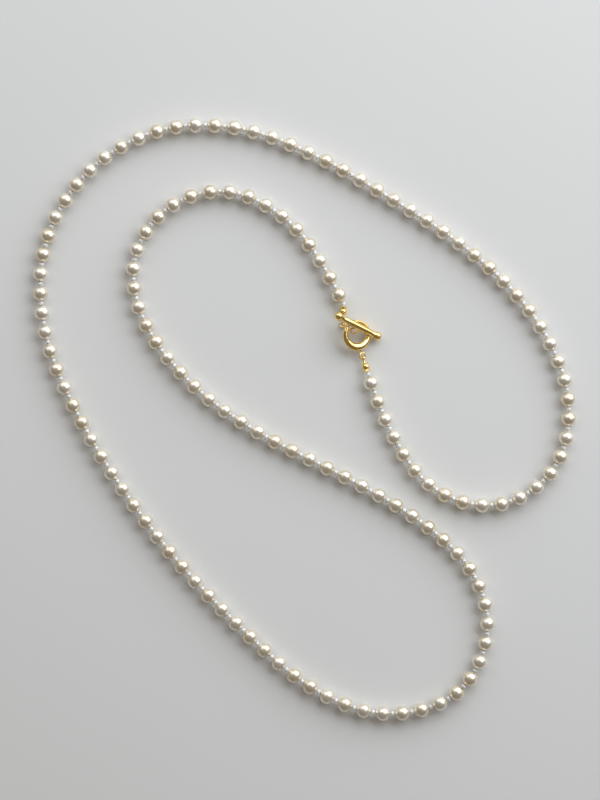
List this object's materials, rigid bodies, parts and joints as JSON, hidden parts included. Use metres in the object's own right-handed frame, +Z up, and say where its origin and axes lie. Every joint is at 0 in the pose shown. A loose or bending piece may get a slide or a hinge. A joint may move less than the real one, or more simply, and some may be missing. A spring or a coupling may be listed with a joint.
{
  "type": "pearl necklace",
  "caption": "Long single strand of round pearls with small glass seed beads between them, joined at a gold-tone toggle clasp of a ring and a bulb-ended bar, lying loosely looped.",
  "frame": {"origin": "on the table surface, under the middle of the box that the laid-out necklace fills", "axes": "+Z up from the table; X and Y lie along the table, the clasp's bead tips point mostly along Y"},
  "size_m": [0.2132, 0.2368, 0.0114],
  "materials": {
    "pearl": "satin nacre lustre",
    "seed_glass": "clear glossy",
    "gold": "polished gold plate",
    "thread": "fine twisted"
  },
  "bodies": {
    "toggle_ring": {"toggle_ring": "gold", "ring_eye": "gold"},
    "bead_tip_a": {"bead_tip_a": "gold", "thread_knot_a": "thread"},
    "strand_01": {"pearls_01": "pearl", "seed_beads_01": "seed_glass", "thread_01": "thread"},
    "strand_02": {"pearls_02": "pearl", "seed_beads_02": "seed_glass", "thread_02": "thread"},
    "strand_03": {"pearls_03": "pearl", "seed_beads_03": "seed_glass", "thread_03": "thread"},
    "strand_04": {"pearls_04": "pearl", "seed_beads_04": "seed_glass", "thread_04": "thread"},
    "strand_05": {"pearls_05": "pearl", "seed_beads_05": "seed_glass", "thread_05": "thread"},
    "strand_06": {"pearls_06": "pearl", "seed_beads_06": "seed_glass", "thread_06": "thread"},
    "strand_07": {"pearls_07": "pearl", "seed_beads_07": "seed_glass", "thread_07": "thread"},
    "strand_08": {"pearls_08": "pearl", "seed_beads_08": "seed_glass", "thread_08": "thread"},
    "strand_09": {"pearls_09": "pearl", "seed_beads_09": "seed_glass", "thread_09": "thread"},
    "strand_10": {"pearls_10": "pearl", "seed_beads_10": "seed_glass", "thread_10": "thread"},
    "strand_11": {"pearls_11": "pearl", "seed_beads_11": "seed_glass", "thread_11": "thread"},
    "strand_12": {"pearls_12": "pearl", "seed_beads_12": "seed_glass", "thread_12": "thread"},
    "strand_13": {"pearls_13": "pearl", "seed_beads_13": "seed_glass", "thread_13": "thread"},
    "strand_14": {"pearls_14": "pearl", "seed_beads_14": "seed_glass", "thread_14": "thread"},
    "strand_15": {"pearls_15": "pearl", "seed_beads_15": "seed_glass", "thread_15": "thread"},
    "toggle_bar": {"toggle_bar": "gold", "bar_eye": "gold"},
    "toggle_link": {"toggle_link": "gold"},
    "jump_ring": {"jump_ring": "gold"},
    "bead_tip_b": {"bead_tip_b": "gold", "thread_knot_b": "thread"}
  },
  "joints": [
    {"name": "bead_tip_a_hinge", "type": "hinge", "parent": "toggle_ring", "child": "bead_tip_a", "pos_m": [0.02252, 0.02404, 0.00213], "axis": [0.8755, 0.2263, -0.427], "range_deg": [-40, 40]},
    {"name": "strand_flex_01", "type": "hinge", "parent": "bead_tip_a", "child": "strand_01", "pos_m": [0.0245, 0.018, 0.003], "axis": [0.9545, 0.2983, 0], "range_deg": [-24, 24]},
    {"name": "strand_flex_02", "type": "hinge", "parent": "strand_01", "child": "strand_02", "pos_m": [0.06538, -0.03316, 0.003], "axis": [-0.1455, -0.9894, 0], "range_deg": [-24, 24]},
    {"name": "strand_flex_03", "type": "hinge", "parent": "strand_02", "child": "strand_03", "pos_m": [0.10245, 0.01178, 0.003], "axis": [-0.9811, -0.1935, 0], "range_deg": [-24, 24]},
    {"name": "strand_flex_04", "type": "hinge", "parent": "strand_03", "child": "strand_04", "pos_m": [0.0632, 0.06693, 0.003], "axis": [0.6192, 0.7852, 0], "range_deg": [-24, 24]},
    {"name": "strand_flex_05", "type": "hinge", "parent": "strand_04", "child": "strand_05", "pos_m": [0.00449, 0.10322, 0.003], "axis": [-0.436, -0.9, 0], "range_deg": [-24, 24]},
    {"name": "strand_flex_06", "type": "hinge", "parent": "strand_05", "child": "strand_06", "pos_m": [-0.06208, 0.11195, 0.003], "axis": [-0.3527, 0.9357, 0], "range_deg": [-24, 24]},
    {"name": "strand_flex_07", "type": "hinge", "parent": "strand_06", "child": "strand_07", "pos_m": [-0.10372, 0.06099, 0.003], "axis": [0.9933, -0.1155, 0], "range_deg": [-24, 24]},
    {"name": "strand_flex_08", "type": "hinge", "parent": "strand_07", "child": "strand_08", "pos_m": [-0.08594, -0.00457, 0.003], "axis": [-0.8733, -0.4871, 0], "range_deg": [-24, 24]},
    {"name": "strand_flex_09", "type": "hinge", "parent": "strand_08", "child": "strand_09", "pos_m": [-0.04579, -0.06065, 0.003], "axis": [0.7444, 0.6678, 0], "range_deg": [-24, 24]},
    {"name": "strand_flex_10", "type": "hinge", "parent": "strand_09", "child": "strand_10", "pos_m": [0.00526, -0.10691, 0.003], "axis": [-0.4838, -0.8752, 0], "range_deg": [-24, 24]},
    {"name": "strand_flex_11", "type": "hinge", "parent": "strand_10", "child": "strand_11", "pos_m": [0.06658, -0.09811, 0.003], "axis": [-0.8964, 0.4433, 0], "range_deg": [-24, 24]},
    {"name": "strand_flex_12", "type": "hinge", "parent": "strand_11", "child": "strand_12", "pos_m": [0.04493, -0.03981, 0.003], "axis": [0.5915, 0.8063, 0], "range_deg": [-24, 24]},
    {"name": "strand_flex_13", "type": "hinge", "parent": "strand_12", "child": "strand_13", "pos_m": [-0.01564, -0.00669, 0.003], "axis": [-0.4931, -0.87, 0], "range_deg": [-24, 24]},
    {"name": "strand_flex_14", "type": "hinge", "parent": "strand_13", "child": "strand_14", "pos_m": [-0.06449, 0.04054, 0.003], "axis": [0.9314, 0.3639, 0], "range_deg": [-24, 24]},
    {"name": "strand_flex_15", "type": "hinge", "parent": "strand_14", "child": "strand_15", "pos_m": [-0.03363, 0.08973, 0.003], "axis": [0.0002, 1, 0], "range_deg": [-24, 24]},
    {"name": "toggle_bar_turn", "type": "hinge", "parent": "toggle_ring", "child": "toggle_bar", "pos_m": [0.0201, 0.0331, 0.00331], "axis": [0.4384, 0, 0.8988], "range_deg": [0, 12]},
    {"name": "toggle_link_hinge", "type": "hinge", "parent": "toggle_bar", "child": "toggle_link", "pos_m": [0.01758, 0.03487, 0.00425], "axis": [0.1155, -0.7094, -0.6953], "range_deg": [-12, 0]},
    {"name": "jump_ring_hinge", "type": "hinge", "parent": "toggle_link", "child": "jump_ring", "pos_m": [0.01523, 0.03677, 0.00115], "axis": [0.6284, 0.7779, 0], "range_deg": [-18, 18]},
    {"name": "bead_tip_b_hinge", "type": "hinge", "parent": "jump_ring", "child": "bead_tip_b", "pos_m": [0.01449, 0.0384, 0.00115], "axis": [-0.9991, 0.0432, 0], "range_deg": [-40, 40]}
  ]
}
